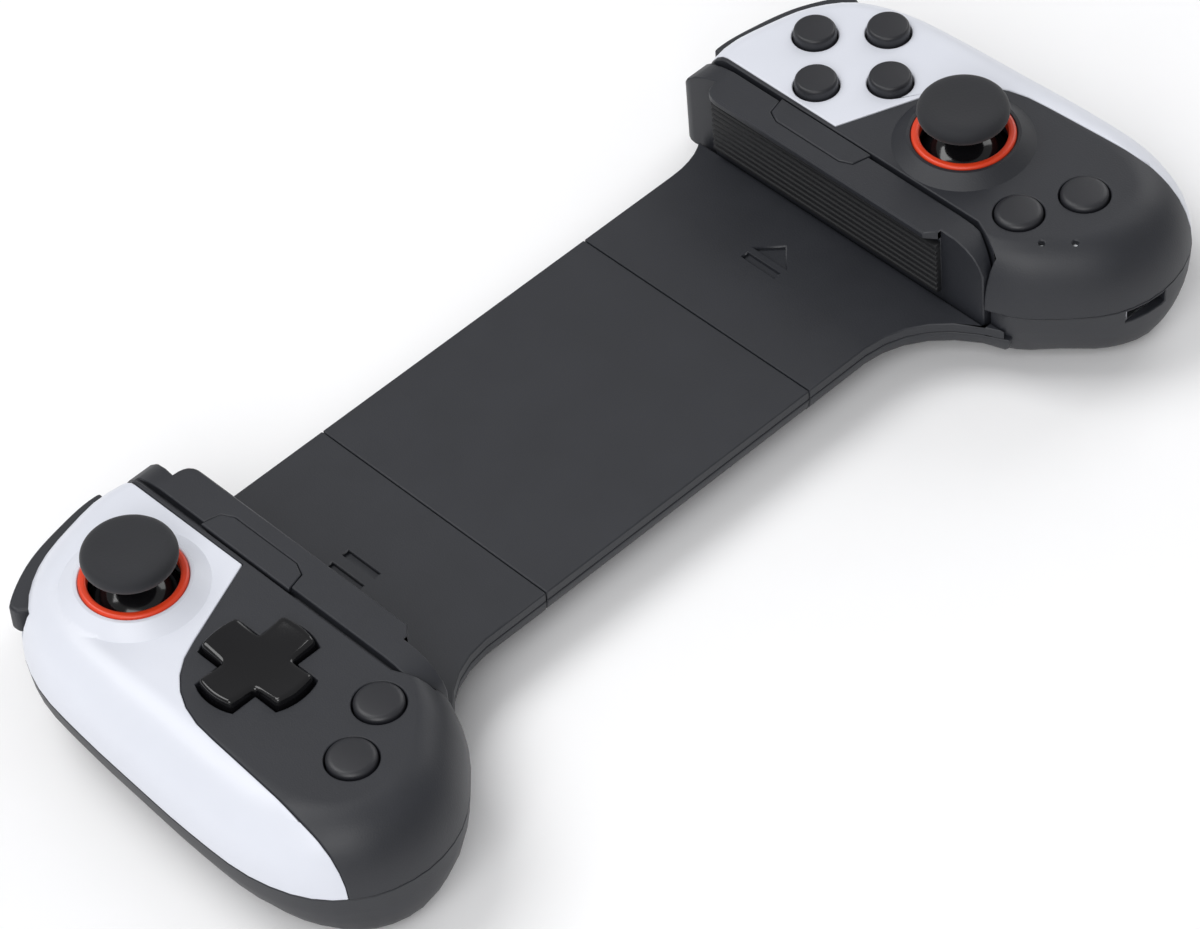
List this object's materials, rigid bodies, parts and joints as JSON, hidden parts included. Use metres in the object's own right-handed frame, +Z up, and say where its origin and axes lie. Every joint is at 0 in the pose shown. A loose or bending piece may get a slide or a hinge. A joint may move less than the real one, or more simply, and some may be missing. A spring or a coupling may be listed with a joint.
{
  "type": "mobile game controller",
  "caption": "Telescopic game controller that holds a phone between two sprung grips, with thumb sticks, a direction pad, push buttons, bumpers and triggers.",
  "frame": {"origin": "middle of the whole box at the closed rest pose, on the plane the grips stand on", "axes": "+X from the left grip to the right grip, +Y away from the player, +Z up out of the buttons' face"},
  "size_m": [0.234, 0.1094, 0.0405],
  "materials": {
    "charcoal": "fine matte moulding",
    "white": "satin moulding",
    "orange": "satin moulding",
    "gloss_black": "polished moulding",
    "soft_grip": "matte rubber",
    "inner_plastic": "bare moulding",
    "gear_white": "bare moulding",
    "steel": "plated steel",
    "board_green": "lacquered circuit board",
    "cell_wrap": "shrink wrap",
    "light_guide": "clear moulding"
  },
  "bodies": {
    "centre": {"centre_tray": "charcoal", "centre_cover": "charcoal", "centre_screws": "steel", "left_spring": "steel", "right_spring": "steel"},
    "left_grip": {"left_rack": "inner_plastic", "left_lower_shell": "charcoal", "left_arm_cover": "charcoal", "left_upper_shell": "charcoal", "left_faceplate": "white", "left_clamp": "charcoal", "left_clamp_pad": "soft_grip", "left_clamp_tab": "charcoal", "left_board": "board_green", "left_screws": "steel", "left_stick_ring": "orange", "left_stick_base": "inner_plastic", "left_trigger_pin": "steel", "dpad_post": "inner_plastic", "battery": "cell_wrap"},
    "right_grip": {"right_rack": "inner_plastic", "right_lower_shell": "charcoal", "right_arm_cover": "charcoal", "right_upper_shell": "charcoal", "right_faceplate": "white", "right_clamp": "charcoal", "right_clamp_pad": "soft_grip", "right_clamp_tab": "charcoal", "right_board": "board_green", "right_screws": "steel", "right_stick_ring": "orange", "right_stick_base": "inner_plastic", "right_trigger_pin": "steel", "charge_socket": "steel", "status_lights": "light_guide"},
    "pinion": {"pinion": "gear_white"},
    "left_stick_yoke": {"left_stick_yoke": "steel"},
    "left_stick_pivot": {"left_stick_pivot": "inner_plastic"},
    "left_stick": {"left_stick_stem": "gloss_black", "left_stick_cap": "soft_grip"},
    "left_bumper": {"left_bumper": "charcoal"},
    "left_trigger": {"left_trigger": "charcoal"},
    "left_inner_button": {"left_inner_button": "charcoal"},
    "left_outer_button": {"left_outer_button": "charcoal"},
    "right_stick_yoke": {"right_stick_yoke": "steel"},
    "right_stick_pivot": {"right_stick_pivot": "inner_plastic"},
    "right_stick": {"right_stick_stem": "gloss_black", "right_stick_cap": "soft_grip"},
    "right_bumper": {"right_bumper": "charcoal"},
    "right_trigger": {"right_trigger": "charcoal"},
    "right_inner_button": {"right_inner_button": "charcoal"},
    "right_outer_button": {"right_outer_button": "charcoal"},
    "dpad_spider": {"dpad_spider": "steel"},
    "dpad": {"dpad": "gloss_black"},
    "button_north": {"button_north": "charcoal"},
    "button_east": {"button_east": "charcoal"},
    "button_south": {"button_south": "charcoal"},
    "button_west": {"button_west": "charcoal"}
  },
  "joints": [
    {"name": "left_slide", "type": "slide", "parent": "centre", "child": "left_grip", "axis": [-1, 0, 0], "range_m": [0, 0.036], "stiffness_N_per_m": 60, "springref_m": -0.03, "deforming": ["left_spring"]},
    {"name": "right_slide", "type": "slide", "parent": "centre", "child": "right_grip", "axis": [1, 0, 0], "range_m": [0, 0.036], "stiffness_N_per_m": 60, "springref_m": -0.03, "deforming": ["right_spring"]},
    {"name": "pinion_spin", "type": "hinge", "parent": "centre", "child": "pinion", "pos_m": [0, 0.0091, 0.0089], "axis": [0, 0, 1], "range_deg": [0, 295]},
    {"name": "left_stick_tilt_y", "type": "hinge", "parent": "left_grip", "child": "left_stick_yoke", "pos_m": [-0.092, 0.0223, 0.0219], "axis": [1, 0, 0], "range_deg": [-13, 13], "stiffness_Nm_per_rad": 0.03},
    {"name": "left_stick_tilt_x", "type": "hinge", "parent": "left_stick_yoke", "child": "left_stick_pivot", "pos_m": [-0.092, 0.0223, 0.0219], "axis": [0, 1, 0], "range_deg": [-13, 13], "stiffness_Nm_per_rad": 0.03},
    {"name": "left_stick_press", "type": "slide", "parent": "left_stick_pivot", "child": "left_stick", "axis": [0, 0, -1], "range_m": [0, 0.0005], "stiffness_N_per_m": 800, "springref_m": -0.001},
    {"name": "left_bumper_press", "type": "slide", "parent": "left_grip", "child": "left_bumper", "axis": [0.3129, -0.9498, 0], "range_m": [0, 0.0009], "stiffness_N_per_m": 800, "springref_m": -0.001},
    {"name": "left_trigger_pull", "type": "hinge", "parent": "left_grip", "child": "left_trigger", "pos_m": [-0.0879, 0.0421, 0.013], "axis": [-1, 0, 0], "range_deg": [0, 12], "stiffness_Nm_per_rad": 0.15, "springref_deg": -11.46},
    {"name": "left_inner_button_press", "type": "slide", "parent": "left_grip", "child": "left_inner_button", "axis": [0, 0, -1], "range_m": [0, 0.0008], "stiffness_N_per_m": 400, "springref_m": -0.001},
    {"name": "left_outer_button_press", "type": "slide", "parent": "left_grip", "child": "left_outer_button", "axis": [0, 0, -1], "range_m": [0, 0.0008], "stiffness_N_per_m": 400, "springref_m": -0.001},
    {"name": "right_stick_tilt_y", "type": "hinge", "parent": "right_grip", "child": "right_stick_yoke", "pos_m": [0.0889, -0.0092, 0.0219], "axis": [1, 0, 0], "range_deg": [-13, 13], "stiffness_Nm_per_rad": 0.03},
    {"name": "right_stick_tilt_x", "type": "hinge", "parent": "right_stick_yoke", "child": "right_stick_pivot", "pos_m": [0.0889, -0.0092, 0.0219], "axis": [0, 1, 0], "range_deg": [-13, 13], "stiffness_Nm_per_rad": 0.03},
    {"name": "right_stick_press", "type": "slide", "parent": "right_stick_pivot", "child": "right_stick", "axis": [0, 0, -1], "range_m": [0, 0.0005], "stiffness_N_per_m": 800, "springref_m": -0.001},
    {"name": "right_bumper_press", "type": "slide", "parent": "right_grip", "child": "right_bumper", "axis": [-0.3129, -0.9498, 0], "range_m": [0, 0.0009], "stiffness_N_per_m": 800, "springref_m": -0.001},
    {"name": "right_trigger_pull", "type": "hinge", "parent": "right_grip", "child": "right_trigger", "pos_m": [0.0879, 0.0421, 0.013], "axis": [-1, 0, 0], "range_deg": [0, 12], "stiffness_Nm_per_rad": 0.15, "springref_deg": -11.46},
    {"name": "right_inner_button_press", "type": "slide", "parent": "right_grip", "child": "right_inner_button", "axis": [0, 0, -1], "range_m": [0, 0.0008], "stiffness_N_per_m": 400, "springref_m": -0.001},
    {"name": "right_outer_button_press", "type": "slide", "parent": "right_grip", "child": "right_outer_button", "axis": [0, 0, -1], "range_m": [0, 0.0008], "stiffness_N_per_m": 400, "springref_m": -0.001},
    {"name": "dpad_tilt_y", "type": "hinge", "parent": "left_grip", "child": "dpad_spider", "pos_m": [-0.09, -0.0081, 0.0285], "axis": [1, 0, 0], "range_deg": [-5, 5], "stiffness_Nm_per_rad": 0.1},
    {"name": "dpad_tilt_x", "type": "hinge", "parent": "dpad_spider", "child": "dpad", "pos_m": [-0.09, -0.0081, 0.0285], "axis": [0, 1, 0], "range_deg": [-5, 5], "stiffness_Nm_per_rad": 0.1},
    {"name": "button_north_press", "type": "slide", "parent": "right_grip", "child": "button_north", "axis": [0, 0, -1], "range_m": [0, 0.0011], "stiffness_N_per_m": 400, "springref_m": -0.001},
    {"name": "button_east_press", "type": "slide", "parent": "right_grip", "child": "button_east", "axis": [0, 0, -1], "range_m": [0, 0.0011], "stiffness_N_per_m": 400, "springref_m": -0.001},
    {"name": "button_south_press", "type": "slide", "parent": "right_grip", "child": "button_south", "axis": [0, 0, -1], "range_m": [0, 0.0011], "stiffness_N_per_m": 400, "springref_m": -0.001},
    {"name": "button_west_press", "type": "slide", "parent": "right_grip", "child": "button_west", "axis": [0, 0, -1], "range_m": [0, 0.0011], "stiffness_N_per_m": 400, "springref_m": -0.001}
  ],
  "couplings": [
    {"joint": "right_slide", "follows": "left_slide", "ratio": 1},
    {"joint": "pinion_spin", "follows": "left_slide", "rad_per_m": 142.86}
  ]
}
